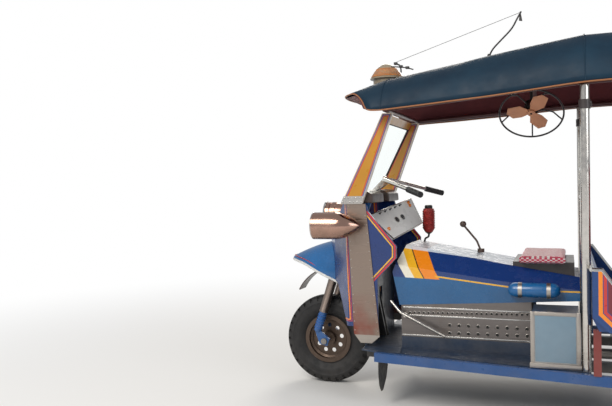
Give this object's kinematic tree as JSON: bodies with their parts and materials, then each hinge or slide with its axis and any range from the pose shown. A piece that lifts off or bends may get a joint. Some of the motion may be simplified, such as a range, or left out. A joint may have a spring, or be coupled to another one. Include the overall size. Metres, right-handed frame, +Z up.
{
  "type": "auto rickshaw",
  "caption": "Open auto rickshaw with a beaked front mudguard, bullet headlamps, exposed driver's cab, passenger tub with bench and a vinyl canopy roof.",
  "frame": {"origin": "on the ground at the middle of the vehicle's length and width", "axes": "+X forward, +Y left, +Z up"},
  "size_m": [3.1998, 1.38, 2.1269],
  "materials": {
    "antenna": "black whip",
    "bench": "blue paint",
    "box_panel": "pale blue-grey panel in a steel frame",
    "canopy": "dark navy vinyl, maroon lining",
    "chrome": "chrome plate",
    "cowl_blue": "royal blue paint with pinstripes",
    "dash_white": "white enamel",
    "dome": "grey-beige dome with an amber lens",
    "engine_metal": "oily casting",
    "fairing_paint": "blue paint with cream and orange sweeps",
    "fan_black": "black enamel wire and motor",
    "fan_blade": "translucent peach plastic",
    "flap": "black rubber sheet",
    "floor_blue": "dark blue paint",
    "fork_blue": "blue paint",
    "frame_black": "black chassis paint",
    "frame_dark": "dark red-brown paint",
    "grip": "black rubber",
    "lamp_chrome": "chrome with a copper tint",
    "lens": "ribbed lamp glass",
    "nose_blue": "blue paint with a pale lip",
    "pillar_yellow": "yellow-orange paint with borders",
    "rim": "dusty brown-grey steel",
    "seat_cord": "woven red and white cord",
    "seat_frame": "dark paint",
    "sill_blue": "bright blue paint",
    "stainless": "brushed stainless sheet",
    "stay_maroon": "maroon paint",
    "steel": "bare steel",
    "tail_red": "red lens",
    "tank_blue": "blue paint",
    "tub_blue": "blue paint with a striped band",
    "tyre": "worn black tread rubber",
    "vinyl_red": "red vinyl",
    "window": "clear glass"
  },
  "bodies": {
    "chassis": {"antenna": "antenna", "battery_box": "box_panel", "bench_backrest": "vinyl_red", "bench_cushion": "vinyl_red", "centre_fairing": "fairing_paint", "cowl_strips": "stainless", "dash_panel": "dash_white", "driver_seat_frame": "seat_frame", "driver_seat_pad": "seat_cord", "engine_block": "engine_metal", "engine_guards": "stainless", "fan_guard": "fan_black", "floor_pan": "floor_blue", "foot_lever": "chrome", "front_cowl": "cowl_blue", "gas_tank": "tank_blue", "gear_lever": "frame_dark", "headlamp_lenses": "lens", "headlamp_shells": "lamp_chrome", "ladder_frame": "frame_black", "leaf_springs": "steel", "mud_flaps": "flap", "nose_fender": "nose_blue", "passenger_bench": "bench", "passenger_tub": "tub_blue", "propeller_shaft": "steel", "rear_axle": "frame_black", "rear_bumper": "chrome", "roof_canopy": "canopy", "roof_frame": "frame_dark", "roof_lamp": "dome", "roof_posts": "chrome", "side_sills": "sill_blue", "tail_lamps": "tail_red", "tub_stays": "stay_maroon", "windscreen_frame": "pillar_yellow", "windscreen_glass": "window"},
    "steering": {"front_fork": "fork_blue", "fork_covers": "stainless", "front_axle": "steel", "handlebar": "chrome", "hand_grips": "grip", "front_mudguard": "frame_black"},
    "front_wheel": {"front_tyre": "tyre", "front_rim": "rim"},
    "rear_left_wheel": {"rear_left_tyre": "tyre", "rear_left_rim": "rim"},
    "rear_right_wheel": {"rear_right_tyre": "tyre", "rear_right_rim": "rim"},
    "fan_rotor": {"fan_blades": "fan_blade"}
  },
  "joints": [
    {"name": "steering_turn", "type": "hinge", "parent": "chassis", "child": "steering", "pos_m": [1.35, 0, 0.27], "axis": [-0.314, 0, 0.9494], "range_deg": [-30, 30]},
    {"name": "front_wheel_spin", "type": "hinge", "parent": "steering", "child": "front_wheel", "pos_m": [1.33, 0, 0.27], "axis": [0, 1, 0], "continuous": true},
    {"name": "rear_left_wheel_spin", "type": "hinge", "parent": "chassis", "child": "rear_left_wheel", "pos_m": [-0.82, 0.56, 0.27], "axis": [0, 1, 0], "continuous": true},
    {"name": "rear_right_wheel_spin", "type": "hinge", "parent": "chassis", "child": "rear_right_wheel", "pos_m": [-0.82, -0.56, 0.27], "axis": [0, 1, 0], "continuous": true},
    {"name": "fan_spin", "type": "hinge", "parent": "chassis", "child": "fan_rotor", "pos_m": [0.12, 0.04, 1.59], "axis": [0, 0.6947, -0.7193], "continuous": true}
  ]
}
